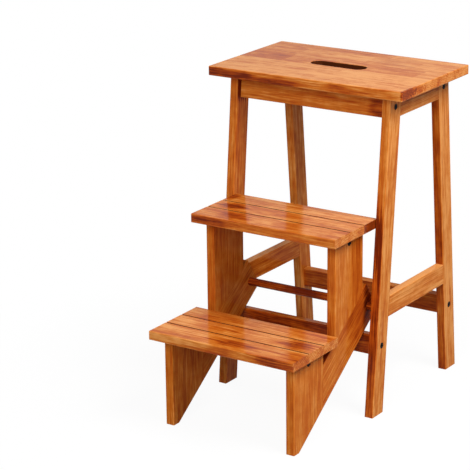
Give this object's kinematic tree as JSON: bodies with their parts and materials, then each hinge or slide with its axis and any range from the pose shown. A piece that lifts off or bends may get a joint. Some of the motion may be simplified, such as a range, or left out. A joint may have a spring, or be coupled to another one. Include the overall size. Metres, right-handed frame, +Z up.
{
  "type": "folding step stool",
  "caption": "Wooden step stool: a tall seat with a hand slot on splayed legs, and a unit of planked steps that folds up between the front legs on a wooden dowel.",
  "frame": {"origin": "on the floor, under the middle of the whole stool when it stands open", "axes": "+X along the seat, to the right when looking at the steps from the front; +Y away from the steps, towards the rear legs; +Z up"},
  "size_m": [0.434, 0.6086, 0.65],
  "materials": {
    "seat_wood": "clear gloss lacquer over orange-brown hardwood",
    "frame_wood": "clear gloss lacquer over orange-brown hardwood",
    "step_wood": "clear gloss lacquer over orange-brown hardwood",
    "tread_wood": "clear gloss lacquer over orange-brown hardwood",
    "pivot_wood": "dark brown stain under clear lacquer",
    "tenon_wood": "bare beech",
    "black_steel": "black oxide, satin",
    "zinc_steel": "zinc plated"
  },
  "bodies": {
    "seat_frame": {"seat_stave_1": "seat_wood", "seat_stave_2": "seat_wood", "seat_stave_3": "seat_wood", "seat_stave_4": "seat_wood", "seat_stave_5": "seat_wood", "front_leg_left": "frame_wood", "front_leg_right": "frame_wood", "rear_leg_left": "frame_wood", "rear_leg_right": "frame_wood", "front_apron": "frame_wood", "rear_apron": "frame_wood", "side_apron_left": "frame_wood", "side_apron_right": "frame_wood", "front_stretcher": "frame_wood", "rear_stretcher": "frame_wood", "side_stretcher_left": "frame_wood", "side_stretcher_right": "frame_wood", "frame_bolts": "black_steel", "barrel_nuts": "zinc_steel", "seat_screws": "black_steel"},
    "step_unit": {"stringer_left": "step_wood", "stringer_right": "step_wood", "lower_side_board_left": "step_wood", "lower_side_board_right": "step_wood", "upper_side_board_left": "step_wood", "upper_side_board_right": "step_wood", "lower_tread_plank_1": "tread_wood", "lower_tread_plank_2": "tread_wood", "lower_tread_plank_3": "tread_wood", "upper_tread_plank_1": "tread_wood", "upper_tread_plank_2": "tread_wood", "upper_tread_plank_3": "tread_wood", "lower_cross_rail": "step_wood", "upper_cross_rail": "step_wood", "cross_rail_screws": "black_steel", "tread_screws": "black_steel", "loose_tenons": "tenon_wood", "pivot_dowel": "pivot_wood", "pivot_lock_screws": "black_steel"}
  },
  "joints": [
    {"name": "step_fold", "type": "hinge", "parent": "seat_frame", "child": "step_unit", "pos_m": [0, -0.0021, 0.2156], "axis": [-1, 0, 0], "range_deg": [0, 129.5]}
  ]
}
